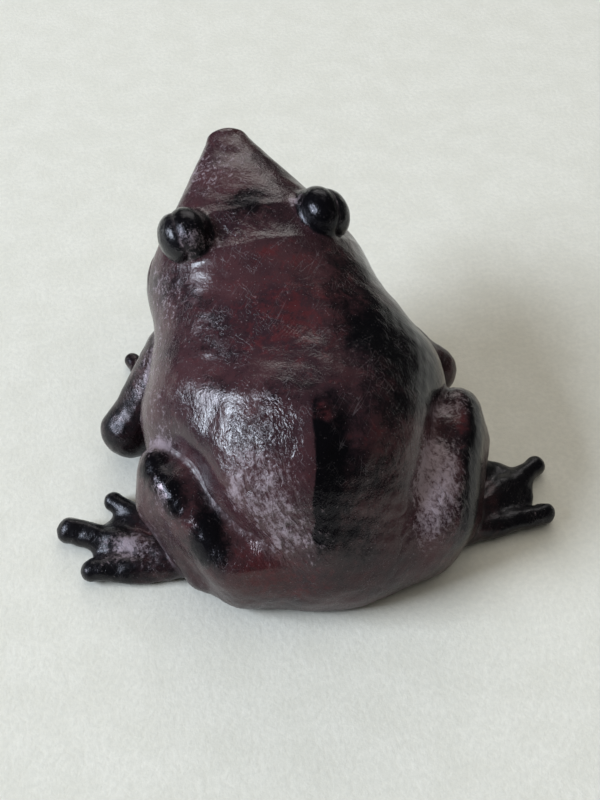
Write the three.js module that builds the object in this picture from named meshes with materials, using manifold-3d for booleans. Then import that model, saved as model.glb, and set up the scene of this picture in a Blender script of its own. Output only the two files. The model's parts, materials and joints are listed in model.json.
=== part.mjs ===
// A sitting frog cast in bronze, hollow, on a screwed base plate with a felt pad.
// Millimetres, +Z up. The frog faces -Y and its left is +X. The origin is the middle of the
// felt pad's underside, on the table.
//
// Anatomy is laid out in "frog" coordinates: across (+ left), along (forward from the back of
// the rump) and up. Places on the trunk are shares of the trunk's half width, length and
// height, so the limbs and head stay on the trunk when it is made longer, wider or taller.
import * as THREE from "three";
import { mergeVertices } from "three/addons/utils/BufferGeometryUtils.js";
import Module from "manifold-3d";

// ---- Overall sizes ----
const TRUNK_LENGTH = 67; // back of the rump to the front of the chest
const TRUNK_WIDTH = 64; // across the belly
const TRUNK_HEIGHT = 43; // table to the top of the hump
const BEND = 1.8; // how far the back curves to the frog's right between rump and nose
const BEND_SPAN = 0.9; // share of the trunk's length over which it curves out and back
const BASE_SHARE = 0.373; // the middle of the base, as a share of the trunk's length
// Sizes of the fillets where swellings run together.
const FILLETS = { back: 9, trunk: 8, neck: 6, head: 4 };

// ---- Casting ----
const WALL = 3.2; // thickness of the hollow trunk
const GAP = 0.3; // solder, glue or seating gap between neighbouring pieces
const RIM_LIFT = 0.6; // the casting's rim stands this far above the table
const RIM_WIDTH = 5.5; // metal left between the rebate and the outside of the base
const LEDGE_THICKNESS = 3.4; // ledge inside the base that the plate is screwed to
const LEDGE_WIDTH = 5; // how far the ledge reaches in under the plate
const PLATE_THICKNESS = 2;
const FELT_THICKNESS = 1.2;
const FELT_INSET = 0.8; // the felt is this much smaller than the plate all round

// ---- Base screws, countersunk ----
const SCREW_RADIUS = 1.25;
const SCREW_HEAD_RADIUS = 2.3;
const SCREW_HEAD_HEIGHT = 1.3;
const SCREW_HEAD_RIM = 0.3; // straight rim under the head before it tapers
const SCREW_LENGTH = 4.8; // head included
const SCREW_EDGE = 2.7; // screw axis in from the edge of the plate

// ---- Head ----
const NOSE_REACH = 26; // neck to the middle of the nose, along
const NOSE_RISE = 13.5; // neck to the middle of the nose, up
const NOSE_RADIUS = 1.9;
const NOSE_BLUNT = 0.9; // flat of the nose, back from the end of its round
const LEAN = 1.2; // how far the head turns to the frog's right at the nose
const SKULL_RADIUS = 14.3;
const SKULL_SPREAD = 1.42; // the skull is this much wider than it is deep
// The muzzle is a flatter, wider wedge over the skull's: its back end is placed from the neck.
const MUZZLE = { spread: 2, radius: 9, tip: 1.5, offset: [0, 6, 5.5], short: 1 };
const CHEEK = { radii: [12.2, 12.5, 10], offset: [11.3, 0.5, -4.5] };
const EYELID = { radii: [4.2, 5.8, 4.6], offset: [13.6, 0.4, 11.7] };
const EYEBALL = { radii: [3.9, 5.6, 4.9], offset: [15.9, 0.6, 10.4] };

// ---- Limbs ----
const THIGH_RADIUS = 9.5;
const KNEE_RADIUS = 7;
const THIGH_FLATNESS = 0.75; // thigh thickness out from the flank, over its width along it
const THIGH_FACE = [1, -0.5, 0.25]; // the way the flattened side of the left thigh faces
const HAUNCH_RADIUS = 8.2; // the fuller inner face of the thigh, next to the back
const HAUNCH_FROM_HIP = [-0.5, -1.5, 6];
const HAUNCH_FROM_KNEE = [-4.5, -4, -0.7];
const SHIN_FROM_KNEE = [0.5, -2, -5];
const SHIN_RADIUS = 6;
const ANKLE_RADIUS = 5;
const TOES_AHEAD = 1.5; // the toes' common root, forward of the ankle
const TOE_ROOT_RADIUS = 3.2;
const WEB_RADII = [12, 9.5, 2.7];
const WEB_OFFSET = [10.5, 8.8, -1.9];
// Digits run out from the ankle or the wrist. Heading is from straight out to the side,
// turning forward; tip is the radius of the rounded end.
const HIND_TOES = {
  left: [
    { length: 23, heading: 10.8, tip: 2.4 },
    { length: 30, heading: 29.1, tip: 2.8 },
    { length: 26, heading: 51, tip: 2.1 },
  ],
  right: [
    { length: 22.8, heading: 2.5, tip: 2.3 },
    { length: 28, heading: 28.3, tip: 2.2 },
    { length: 20, heading: 52, tip: 2.1 },
  ],
};
const ELBOW_OUT = 13.9; // from the shoulder
const ELBOW_BACK = 6.8;
const ELBOW_LIFT = 3.3; // underside of the elbow above the table
const WRIST_IN = 7.9; // from the elbow
const WRIST_AHEAD = 14.8;
const SHOULDER_RADIUS = 7;
const ELBOW_RADIUS = 5.2;
const WRIST_RADIUS = 3.5;
const FINGER_ROOT_RADIUS = 2.5;
const FINGERS = [
  { length: 11.2, heading: 82, tip: 1.8 },
  { length: 12, heading: 104, tip: 1.8 },
  { length: 10.5, heading: 127, tip: 1.8 },
];
const LIMB_LIFT = 0.3; // soles of the feet and hands above the table
// Each limb is set on by hand, so the two sides differ a little: across, along.
const HIP_SHIFT = { left: [-0.4, 0], right: [5.3, -1.5] };
const KNEE_SHIFT = { left: [-0.4, 0], right: [1.8, 0] };
const FOOT_SHIFT = { left: [0, 0], right: [1.5, -6] };
const ARM_SHIFT = { left: [0, 0], right: [1.2, 1] };

// ---- Core plugs ----
// The back plug's place is measured from the middle of the belly and the head plug's from the
// neck: across to the left, then forward.
const BACK_PLUG = { place: [2.9, 0], radii: [5.8, 4.3], depth: 8 };
const HEAD_PLUG = { place: [4.6, -3], radii: [1.3, 1.3], depth: 3 };
const PLUG_STOCK = 3; // a plug blank stands this far out before it is filed flush

// ---- Fineness of the faceted surfaces ----
const RINGS = 40;
const RING_POINTS = 36;
const CORE_RINGS = 20;
const CORE_RING_POINTS = 20;

const wasm = await Module();
wasm.setup();

// ---- Places ----
const baseAlong = BASE_SHARE * TRUNK_LENGTH; // from the back of the rump

// A place on the trunk, from shares of its half width, length and height.
const onTrunk = (across, along, up) => [
  (across * TRUNK_WIDTH) / 2,
  along * TRUNK_LENGTH,
  up * TRUNK_HEIGHT,
];
const plus = (a, b) => a.map((value, i) => value + b[i]);

const RUMP = { centre: onTrunk(0, 0.2985, 0.314), radii: onTrunk(0.8125, 0.306, 0.686) };
const BELLY = { centre: onTrunk(0, 0.537, 0.465), radii: onTrunk(1, 0.343, 0.558) };
const CHEST = { centre: onTrunk(0, 0.746, 0.674), radii: onTrunk(0.75, 0.254, 0.419) };
// The low swelling that the rump sits on, a little to the frog's right.
const SEAT = { centre: onTrunk(-0.1875, 0.2388, 0.2093), radii: onTrunk(0.75, 0.303, 0.395) };
const NECK = onTrunk(0, 0.925, 0.849);
const NOSE = plus(NECK, [0, NOSE_REACH, NOSE_RISE]);
const HIP = onTrunk(0.5625, 0.149, 0.198);
const KNEE = onTrunk(0.922, 0.358, 0.465);
const SHIN_TOP = plus(KNEE, SHIN_FROM_KNEE);
const ANKLE = [(0.75 * TRUNK_WIDTH) / 2, 0.179 * TRUNK_LENGTH, ANKLE_RADIUS];
const TOE_ROOT = [ANKLE[0], ANKLE[1] + TOES_AHEAD, TOE_ROOT_RADIUS + LIMB_LIFT];
const SHOULDER = onTrunk(0.625, 0.806, 0.512);
const ELBOW = [SHOULDER[0] + ELBOW_OUT, SHOULDER[1] - ELBOW_BACK, ELBOW_RADIUS + ELBOW_LIFT];
const WRIST = [ELBOW[0] - WRIST_IN, ELBOW[1] + WRIST_AHEAD, WRIST_RADIUS + LIMB_LIFT];

// The gentle sideways curve of the back, zero over the middle of the base.
const curve = (along) => BEND * Math.sin((Math.PI * along) / (BEND_SPAN * TRUNK_LENGTH));
const bentAcross = (across, along) => across - curve(along) + curve(baseAlong);

// Frog coordinates to the part's own frame.
const toRow = ([across, along, up]) => [bentAcross(across, along), baseAlong - along, up];

// ---- Surfaces ----
// Signed distance, near enough, to an ellipsoid: k0 (k0 - 1) / k1.
function ellipsoid([x, y, z], { centre, radii }) {
  const p = [x - centre[0], y - centre[1], z - centre[2]];
  const k0 = Math.hypot(p[0] / radii[0], p[1] / radii[1], p[2] / radii[2]);
  const k1 = Math.hypot(p[0] / radii[0] ** 2, p[1] / radii[1] ** 2, p[2] / radii[2] ** 2);
  return k1 > 0 ? (k0 * (k0 - 1)) / k1 : -Math.min(...radii);
}

// Signed distance to a cone with round ends from a to b.
function taper(p, a, b, radiusA, radiusB) {
  const axis = b.map((value, i) => value - a[i]);
  const from = p.map((value, i) => value - a[i]);
  const dot = (u, v) => u[0] * v[0] + u[1] * v[1] + u[2] * v[2];
  const t = Math.min(1, Math.max(0, dot(from, axis) / dot(axis, axis)));
  const off = from.map((value, i) => value - axis[i] * t);
  return Math.hypot(...off) - (radiusA + (radiusB - radiusA) * t);
}

// Joins two distances with a fillet of about the given size.
function blend(a, b, fillet) {
  const h = Math.min(1, Math.max(0, 0.5 + (0.5 * (b - a)) / fillet));
  return b + (a - b) * h - fillet * h * (1 - h);
}

function trunkDistance(p) {
  const back = blend(ellipsoid(p, RUMP), ellipsoid(p, BELLY), FILLETS.back);
  const withChest = blend(back, ellipsoid(p, CHEST), FILLETS.trunk);
  return blend(withChest, ellipsoid(p, SEAT), FILLETS.trunk);
}

function bodyDistance([across, along, up]) {
  const ahead = Math.min(1, Math.max(0, (along - NECK[1]) / NOSE_REACH));
  const p = [Math.abs(across + LEAN * ahead), along, up];
  const narrow = ([x, y, z], spread) => [x / spread, y, z];
  const wedge = taper(narrow(p, SKULL_SPREAD), NECK, NOSE, SKULL_RADIUS, NOSE_RADIUS);
  const muzzle = taper(
    narrow(p, MUZZLE.spread),
    plus(NECK, MUZZLE.offset),
    plus(NOSE, [0, -MUZZLE.short, 0]),
    MUZZLE.radius,
    MUZZLE.tip,
  );
  const cheek = ellipsoid(p, { centre: plus(NECK, CHEEK.offset), radii: CHEEK.radii });
  const head = blend(blend(wedge, muzzle, FILLETS.head), cheek, FILLETS.head);
  const whole = blend(trunkDistance([across, along, up]), head, FILLETS.neck);
  return Math.max(whole, along - (NOSE[1] + NOSE_RADIUS - NOSE_BLUNT));
}

// The closed surface where a distance passes a level, found by rays from a straight spine.
// At both ends of the spine the rays fan out to a pole.
function castSurface(distance, level, start, end, rings, points) {
  const spine = [0, end[0] - start[0], end[1] - start[1]];
  const length = Math.hypot(...spine);
  const forward = spine.map((value) => value / length);
  const normal = [0, -forward[2], forward[1]];
  const fan = Math.round(rings / 4);
  const positions = [];
  const shoot = (ring, point) => {
    const middle = Math.min(1, Math.max(0, (ring - fan) / (rings - 2 * fan)));
    const frontFan = Math.max(0, ring - (rings - fan)) / fan;
    const backFan = Math.max(0, fan - ring) / fan;
    const tilt = (Math.PI / 2) * (1 + backFan - frontFan);
    const turn = (2 * Math.PI * point) / points;
    const ray = [
      Math.sin(tilt) * Math.sin(turn),
      Math.cos(tilt) * forward[1] + Math.sin(tilt) * Math.cos(turn) * normal[1],
      Math.cos(tilt) * forward[2] + Math.sin(tilt) * Math.cos(turn) * normal[2],
    ];
    const from = [0, start[0] + spine[1] * middle, start[1] + spine[2] * middle];
    const at = (t) => from.map((value, i) => value + ray[i] * t);
    let outside = 0.5;
    while (distance(at(outside)) < level) outside += 0.5;
    let inside = outside - 0.5;
    for (let halving = 0; halving < 18; halving++) {
      const half = (inside + outside) / 2;
      if (distance(at(half)) < level) inside = half;
      else outside = half;
    }
    positions.push(...toRow(at(inside)));
  };
  shoot(0, 0);
  for (let ring = 1; ring < rings; ring++) {
    for (let point = 0; point < points; point++) shoot(ring, point);
  }
  shoot(rings, 0);
  const last = positions.length / 3 - 1;
  const index = [];
  const vertex = (ring, point) => 1 + (ring - 1) * points + (point % points);
  for (let point = 0; point < points; point++) {
    index.push(0, vertex(1, point), vertex(1, point + 1));
    for (let ring = 1; ring < rings - 1; ring++) {
      const [a, b] = [vertex(ring, point), vertex(ring, point + 1)];
      const [c, d] = [vertex(ring + 1, point), vertex(ring + 1, point + 1)];
      index.push(a, c, d, a, d, b);
    }
    index.push(vertex(rings - 1, point), last, vertex(rings - 1, point + 1));
  }
  const geometry = new THREE.BufferGeometry();
  geometry.setAttribute("position", new THREE.Float32BufferAttribute(positions, 3));
  geometry.setIndex(index);
  return solidFrom(geometry);
}

// ---- Solids ----
function solidFrom(geometry) {
  const bare = geometry.clone();
  bare.deleteAttribute("normal");
  bare.deleteAttribute("uv");
  const merged = mergeVertices(bare, 1e-4);
  return new wasm.Manifold(
    new wasm.Mesh({
      numProp: 3,
      vertProperties: new Float32Array(merged.attributes.position.array),
      triVerts: new Uint32Array(merged.index.array),
    }),
  );
}

function geometryFrom(solid) {
  const mesh = solid.getMesh();
  const geometry = new THREE.BufferGeometry();
  geometry.setAttribute("position", new THREE.BufferAttribute(mesh.vertProperties, 3));
  geometry.setIndex(new THREE.BufferAttribute(mesh.triVerts, 1));
  geometry.computeVertexNormals();
  return geometry;
}

// A round-ended cone from a to b in frog coordinates, grown all round by `grow`. `flatness`
// thins it along `face`.
function taperSolid(a, b, radiusA, radiusB, { grow = 0, flatness = 1, face, sides = 12 } = {}) {
  const [from, to] = [new THREE.Vector3(...toRow(a)), new THREE.Vector3(...toRow(b))];
  const length = from.distanceTo(to);
  const steps = 4;
  const arc = (radius, middle, first) =>
    Array.from({ length: steps + 1 }, (_, i) => {
      const angle = first + (Math.PI / 2) * (i / steps);
      const across = Math.abs(Math.cos(angle)) < 1e-9 ? 0 : radius * Math.cos(angle);
      return new THREE.Vector2(across, middle + radius * Math.sin(angle));
    });
  const profile = [
    ...arc(radiusA + grow, 0, -Math.PI / 2),
    ...arc(radiusB + grow, length, 0),
  ];
  const geometry = new THREE.LatheGeometry(profile, sides);
  geometry.scale(flatness, 1, 1);
  const up = to.clone().sub(from).normalize();
  const side = new THREE.Vector3(...(face ?? [1, 0, 0]));
  if (Math.abs(side.clone().normalize().dot(up)) > 0.95) side.set(0, 0, 1);
  side.addScaledVector(up, -side.dot(up)).normalize();
  const third = new THREE.Vector3().crossVectors(side, up);
  geometry.applyMatrix4(new THREE.Matrix4().makeBasis(side, up, third).setPosition(from));
  return solidFrom(geometry);
}

function ellipsoidSolid(centre, radii, grow = 0, across = 16) {
  const geometry = new THREE.SphereGeometry(1, across, across / 2);
  geometry.scale(...radii.map((radius) => radius + grow));
  geometry.translate(...toRow(centre));
  return solidFrom(geometry);
}

// An upright prism with an oval outline about the middle of the base.
function ovalSolid(radiusAcross, radiusAlong, bottom, top) {
  const shape = new THREE.Shape();
  shape.absellipse(0, 0, radiusAcross, radiusAlong, 0, 2 * Math.PI);
  const geometry = new THREE.ExtrudeGeometry(shape, {
    depth: top - bottom,
    bevelEnabled: false,
    curveSegments: 24,
  });
  geometry.translate(0, 0, bottom);
  return solidFrom(geometry);
}

// Everything below a level, to cut a flat sole.
function belowSolid(level) {
  const size = 4 * (TRUNK_LENGTH + TRUNK_WIDTH + TRUNK_HEIGHT);
  const geometry = new THREE.BoxGeometry(size, size, size);
  geometry.translate(0, 0, level - size / 2);
  return solidFrom(geometry);
}

const union = (solids) => solids.reduce((all, solid) => all.add(solid));

// ---- Base: levels upward from the table ----
const feltTop = FELT_THICKNESS;
const plateBottom = feltTop + GAP;
const plateTop = plateBottom + PLATE_THICKNESS;
const ledgeBottom = plateTop + GAP;
const ledgeTop = ledgeBottom + LEDGE_THICKNESS;

// The oval that the trunk's two rear lobes leave on the table, from their sections there.
const sectionShare = ({ centre, radii }) => Math.sqrt(1 - (centre[2] / radii[2]) ** 2);
const footprintBack = RUMP.centre[1] - RUMP.radii[1] * sectionShare(RUMP);
const footprintFront = 2 * baseAlong - footprintBack;
const rebateAcross = RUMP.radii[0] * sectionShare(RUMP) - RIM_WIDTH;
const rebateAlong = (footprintFront - footprintBack) / 2 - RIM_WIDTH;
const plateAcross = rebateAcross - GAP;
const plateAlong = rebateAlong - GAP;

const screwPlaces = [45, 135, 225, 315].map((degrees) => {
  const angle = THREE.MathUtils.degToRad(degrees);
  return [
    (plateAcross - SCREW_EDGE) * Math.cos(angle),
    (plateAlong - SCREW_EDGE) * Math.sin(angle),
  ];
});

function screwSolid([x, y], grow = 0) {
  const profile = [
    [0, -grow],
    [SCREW_HEAD_RADIUS + grow, -grow],
    [SCREW_HEAD_RADIUS + grow, SCREW_HEAD_RIM],
    [SCREW_RADIUS + grow, SCREW_HEAD_HEIGHT + grow],
    [SCREW_RADIUS + grow, SCREW_LENGTH + grow],
    [0, SCREW_LENGTH + grow],
  ].map(([radius, height]) => new THREE.Vector2(radius, height));
  const geometry = new THREE.LatheGeometry(profile, 16);
  geometry.rotateX(Math.PI / 2);
  geometry.translate(x, y, plateBottom);
  return solidFrom(geometry);
}

// ---- Trunk and head ----
const SPINE_START = [RUMP.centre[1], RUMP.centre[2] + 3.5];
const SPINE_END = [NOSE[1] - NOSE_RADIUS, NOSE[2] - 1];
const CORE_END = [CHEST.centre[1], CHEST.centre[2]];

// An eyelid or eyeball on one side of the head: side is 1 for left and -1 for right.
function onHead({ offset, radii }, side, grow = 0) {
  const centre = plus(NECK, offset);
  centre[0] *= side;
  return ellipsoidSolid(centre, radii, grow);
}

// The outer form with its eyelids, and the hollow inside, each grown or shrunk to a level.
const outside = (level) =>
  castSurface(bodyDistance, level, SPINE_START, SPINE_END, RINGS, RING_POINTS).add(
    union([1, -1].map((side) => onHead(EYELID, side, level))),
  );
const core = (level) =>
  castSurface(trunkDistance, level, SPINE_START, CORE_END, CORE_RINGS, CORE_RING_POINTS);
const bodyForm = outside(0);
const bodyClearance = outside(GAP);
const cavity = core(-WALL).subtract(belowSolid(ledgeTop));
const baseOpening = ovalSolid(
  rebateAcross - LEDGE_WIDTH, rebateAlong - LEDGE_WIDTH, -1, ledgeTop + WALL,
);
const rebate = ovalSolid(rebateAcross, rebateAlong, -1, ledgeBottom);

// An oval plug set into the form along the surface's own normal, and the hole it fills.
function plugTool({ place: [aside, ahead], radii, depth }, anchor, grow) {
  const [across, along] = [anchor[0] + aside, anchor[1] + ahead];
  let up = anchor[2];
  while (bodyDistance([across, along, up]) < 0) up += 0.05;
  const step = 0.2;
  const slope = [0, 1, 2].map((i) => {
    const more = [across, along, up];
    const less = [across, along, up];
    more[i] += step;
    less[i] -= step;
    return bodyDistance(more) - bodyDistance(less);
  });
  const normal = new THREE.Vector3(slope[0], -slope[1], slope[2]).normalize();
  const reach = depth + grow + PLUG_STOCK;
  const geometry = new THREE.CylinderGeometry(1, 1, reach, 24);
  geometry.scale(radii[0] + grow, 1, radii[1] + grow);
  geometry.translate(0, PLUG_STOCK - reach / 2, 0);
  const turn = new THREE.Quaternion().setFromUnitVectors(new THREE.Vector3(0, 1, 0), normal);
  geometry.applyQuaternion(turn);
  geometry.translate(...toRow([across, along, up]));
  return solidFrom(geometry);
}

const backPlugTool = (grow) => plugTool(BACK_PLUG, BELLY.centre, grow);
const headPlugTool = (grow) => plugTool(HEAD_PLUG, NECK, grow);
const backPlug = backPlugTool(0).intersect(bodyForm).subtract(core(GAP - WALL));
const headPlug = headPlugTool(0).intersect(bodyForm);

const bodyCasting = bodyForm
  .subtract(belowSolid(RIM_LIFT))
  .subtract(cavity)
  .subtract(baseOpening)
  .subtract(rebate)
  .subtract(backPlugTool(GAP))
  .subtract(headPlugTool(GAP))
  .subtract(union([1, -1].map((side) => onHead(EYEBALL, side, GAP))))
  .subtract(union(screwPlaces.map((place) => screwSolid(place, GAP))));

// ---- Limbs ----
// Places on a limb are for the left side. Each is shifted, then mirrored for the right side.
const placer = (side, shift) => ([across, along, up]) => [
  side * (across + shift[0]),
  along + shift[1],
  up,
];

function hindLegForm(name, side, grow = 0) {
  const back = placer(side, HIP_SHIFT[name]);
  const front = placer(side, KNEE_SHIFT[name]);
  const face = [side * THIGH_FACE[0], -THIGH_FACE[1], THIGH_FACE[2]];
  const thigh = taperSolid(back(HIP), front(KNEE), THIGH_RADIUS, KNEE_RADIUS, {
    grow,
    flatness: THIGH_FLATNESS,
    face,
    sides: 18,
  });
  const haunch = taperSolid(
    back(plus(HIP, HAUNCH_FROM_HIP)),
    front(plus(KNEE, HAUNCH_FROM_KNEE)),
    HAUNCH_RADIUS,
    HAUNCH_RADIUS,
    { grow, sides: 18 },
  );
  const shin = taperSolid(front(SHIN_TOP), back(ANKLE), SHIN_RADIUS, ANKLE_RADIUS, { grow });
  return union([thigh, haunch, shin]);
}

// Digits that radiate from one root, each a round-ended cone.
function digits(at, root, list, rootRadius) {
  return list.map(({ length, heading, tip: tipRadius }) => {
    const angle = THREE.MathUtils.degToRad(heading);
    const tip = [
      root[0] + length * Math.cos(angle),
      root[1] + length * Math.sin(angle),
      tipRadius + LIMB_LIFT,
    ];
    return taperSolid(at(root), at(tip), rootRadius, tipRadius, { sides: 10 });
  });
}

function hindFootForm(name, side) {
  const at = placer(side, FOOT_SHIFT[name]);
  const web = ellipsoidSolid(at(plus(TOE_ROOT, WEB_OFFSET)), WEB_RADII);
  return union([web, ...digits(at, TOE_ROOT, HIND_TOES[name], TOE_ROOT_RADIUS)]);
}

function forelegForm(name, side) {
  const at = placer(side, ARM_SHIFT[name]);
  const upperArm = taperSolid(at(SHOULDER), at(ELBOW), SHOULDER_RADIUS, ELBOW_RADIUS);
  const forearm = taperSolid(at(ELBOW), at(WRIST), ELBOW_RADIUS - 0.2, WRIST_RADIUS);
  const palm = [WRIST[0], WRIST[1], FINGER_ROOT_RADIUS + LIMB_LIFT];
  return union([upperArm, forearm, ...digits(at, palm, FINGERS, FINGER_ROOT_RADIUS)]);
}

// ---- Finishes ----
const finish = (color, roughness, metalness) =>
  () => new THREE.MeshStandardMaterial({ color, roughness, metalness });
const patina = finish(0x3a1f1d, 0.42, 0.6);
const glossPatina = finish(0x1b1217, 0.28, 0.6);
const bareBrass = finish(0x8a6a3c, 0.45, 1);
const steel = finish(0x8c8d8f, 0.4, 1);
const felt = finish(0x1f2a22, 1, 0);

// ---- Assembly ----
const frog = new THREE.Group();
function place(name, solid, material) {
  const mesh = new THREE.Mesh(geometryFrom(solid), material());
  mesh.name = name;
  frog.add(mesh);
}

place("body_casting", bodyCasting, patina);
place("back_plug", backPlug, patina);
place("head_plug", headPlug, patina);

for (const [name, side] of [["left", 1], ["right", -1]]) {
  const soleCut = belowSolid(LIMB_LIFT);
  place(`eye_${name}`, onHead(EYEBALL, side), glossPatina);
  const foreleg = forelegForm(name, side).subtract(bodyClearance).subtract(soleCut);
  place(`foreleg_${name}`, foreleg, patina);
  const leg = hindLegForm(name, side).subtract(bodyClearance).subtract(soleCut);
  place(`hind_leg_${name}`, leg, patina);
  const foot = hindFootForm(name, side)
    .subtract(hindLegForm(name, side, GAP))
    .subtract(bodyClearance)
    .subtract(soleCut);
  place(`hind_foot_${name}`, foot, glossPatina);
}

const screws = screwPlaces.map((position) => screwSolid(position));
const screwHoles = union(screwPlaces.map((position) => screwSolid(position, GAP)));
const plateBlank = ovalSolid(plateAcross, plateAlong, plateBottom, plateTop);
place("base_plate", plateBlank.subtract(screwHoles), bareBrass);
screws.forEach((screw, i) => place(`base_screw_${i + 1}`, screw, steel));
place(
  "felt_pad",
  ovalSolid(plateAcross - FELT_INSET, plateAlong - FELT_INSET, 0, feltTop),
  felt,
);

export default frog;
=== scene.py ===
# %% [markdown]
# # A small bronze frog
# This lesson builds the looks of a hand-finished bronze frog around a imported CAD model, which
# holds the plain solids. Here each cast piece gets the surface that a chaser's tools leave, and
# each finish is worked out as shader maths. The first cell loads the frame and keeps the CAD
# model's box, because nothing that follows may outgrow it.

# %% Load the frame
import json
import math
import time

import bpy
import numpy as np
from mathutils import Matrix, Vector

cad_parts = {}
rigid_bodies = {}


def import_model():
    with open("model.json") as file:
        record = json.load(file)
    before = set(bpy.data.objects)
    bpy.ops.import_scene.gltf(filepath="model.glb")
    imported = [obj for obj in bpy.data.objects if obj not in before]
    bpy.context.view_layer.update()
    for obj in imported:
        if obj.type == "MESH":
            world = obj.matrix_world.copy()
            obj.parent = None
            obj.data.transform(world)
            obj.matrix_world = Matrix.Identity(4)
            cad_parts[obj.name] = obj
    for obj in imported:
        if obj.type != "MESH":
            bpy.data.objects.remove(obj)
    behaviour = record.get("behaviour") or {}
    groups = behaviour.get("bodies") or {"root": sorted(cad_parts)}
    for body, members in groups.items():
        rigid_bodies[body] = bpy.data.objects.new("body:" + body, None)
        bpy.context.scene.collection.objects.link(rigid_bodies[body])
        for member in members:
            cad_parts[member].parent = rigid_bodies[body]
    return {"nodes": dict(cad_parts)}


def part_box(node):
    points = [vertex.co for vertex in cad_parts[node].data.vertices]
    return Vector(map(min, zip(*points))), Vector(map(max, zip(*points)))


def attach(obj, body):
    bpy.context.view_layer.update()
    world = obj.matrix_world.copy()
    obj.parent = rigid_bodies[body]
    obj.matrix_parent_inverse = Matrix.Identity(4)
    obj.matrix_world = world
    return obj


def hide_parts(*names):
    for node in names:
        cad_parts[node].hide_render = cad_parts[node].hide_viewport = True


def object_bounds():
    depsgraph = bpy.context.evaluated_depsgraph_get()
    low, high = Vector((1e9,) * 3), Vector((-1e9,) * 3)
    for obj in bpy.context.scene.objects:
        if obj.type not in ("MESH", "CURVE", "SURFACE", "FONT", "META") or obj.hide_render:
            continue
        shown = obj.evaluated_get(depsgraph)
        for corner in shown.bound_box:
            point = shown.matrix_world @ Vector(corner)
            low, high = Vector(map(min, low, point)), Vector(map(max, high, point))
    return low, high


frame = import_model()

MM = 0.001
START = time.time()
cad_low, cad_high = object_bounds()
print("CAD box, mm:", [round(float(v) / MM, 1) for v in cad_high - cad_low])

# %% [markdown]
# ## Where things are
# The frog is easiest to think of in its own coordinates: across (to its left), along (forward
# from the back of the rump) and up, in millimetres. The dimensions below are for a body of
# MODEL_SIZE, and they are scaled to the CAD body's box, so the skin follows the casting. The
# back curves a little to one side. `to_row` puts the curve in, so shapes are designed straight.

# %% Frog coordinates
body_low, body_high = (np.array(corner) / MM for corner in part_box("body_casting"))
pad_low, pad_high = (np.array(corner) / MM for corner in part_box("felt_pad"))
MODEL_SIZE = np.array([63.84, 93.6, 52.81])
SCALE = np.array([*(body_high - body_low)[:2], body_high[2]]) / MODEL_SIZE
RUMP_BEHIND = 4.63
BEND = 1.8
BEND_SPAN = 60.3
RIM = body_low[2]
base_along = body_high[1] / SCALE[1] - RUMP_BEHIND


def curve(along):
    """How far the spine lies to the frog's right: one arch of a sine, BEND high."""
    return BEND * np.sin(np.pi * along / BEND_SPAN)


def to_row(points):
    """Frog coordinates to the row frame: bend sideways, turn forward into -Y, scale to the CAD."""
    across, along, up = np.moveaxis(np.asarray(points, float), -1, 0)
    x = across - curve(along) + curve(base_along)
    return np.stack([x, base_along - along, up], -1) * SCALE


def from_row(points):
    """The row frame back to frog coordinates, the inverse of to_row."""
    x, y, up = np.moveaxis(np.asarray(points, float) / SCALE, -1, 0)
    along = base_along - y
    return np.stack([x + curve(along) - curve(base_along), along, up], -1)


print("scale to the CAD body:", SCALE.round(4), "base at", round(float(base_along), 2))

# %% [markdown]
# ## The camera
# The frog is seen from behind, above and a little to its left, from about a forearm's length
# away and with a lens a little longer than normal.

# %% Camera
AZIMUTH, ELEVATION = 166, 50
DISTANCE = 240 * MM
AIM = np.array([-1.32, -12.23, 20.0]) * MM
LENS = 51.75


def direction(azimuth, elevation):
    """The way from the frog to a place at an azimuth and an elevation, in degrees. Azimuth 0 is
    in front of the frog, and 90 is to its left."""
    a, e = math.radians(azimuth), math.radians(elevation)
    return np.array([math.sin(a) * math.cos(e), -math.cos(a) * math.cos(e), math.sin(e)])


toward_camera = direction(AZIMUTH, ELEVATION)
camera_data = bpy.data.cameras.new("camera")
camera_data.lens = LENS
camera_data.clip_start = 0.01
camera = bpy.data.objects.new("camera", camera_data)
camera.location = AIM + DISTANCE * toward_camera
camera.rotation_mode = "QUATERNION"
camera.rotation_quaternion = Vector(-toward_camera).to_track_quat("-Z", "Y")
bpy.context.collection.objects.link(camera)
bpy.context.scene.camera = camera
print("camera at", [round(v / MM) for v in camera.location], "mm")

# %% [markdown]
# ## Distances
# A frog is a few swellings that run into each other. Each swelling is written as a signed
# distance: below zero inside, above zero outside. A smooth minimum of two distances joins them
# with a fillet, as wax does.

# %% Distance functions


def ellipsoid(p, centre, radii):
    """Nearly the distance to an ellipsoid: k0 (k0 - 1) / k1, with k0 the length of the offset
    over the radii and k1 its length over their squares."""
    offset = p - np.asarray(centre, float)
    radii = np.asarray(radii, float)
    k0 = np.linalg.norm(offset / radii, axis=-1)
    k1 = np.linalg.norm(offset / radii**2, axis=-1)
    return k0 * (k0 - 1) / np.maximum(k1, 1e-9)


def taper(p, a, b, radius_a, radius_b, face=None, flatness=1.0):
    """Distance to a round-ended cone: the distance to the nearest point of the line a to b,
    less the radius there. With face, the cone is thinned along that direction."""
    a, b = np.asarray(a, float), np.asarray(b, float)
    axis = b - a
    t = np.clip(((p - a) @ axis) / (axis @ axis), 0, 1)
    off = p - a - t[..., None] * axis
    if face is not None:
        face = np.asarray(face, float) / np.linalg.norm(face)
        off = off + (off @ face)[..., None] * face * (1 / flatness - 1)
    return (np.linalg.norm(off, axis=-1) - (radius_a + (radius_b - radius_a) * t)) * flatness


def join(a, b, fillet):
    """Smooth minimum: the lower of two distances, less fillet h (1 - h) where they are close."""
    h = np.clip(0.5 + 0.5 * (b - a) / fillet, 0, 1)
    return b + (a - b) * h - fillet * h * (1 - h)


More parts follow.
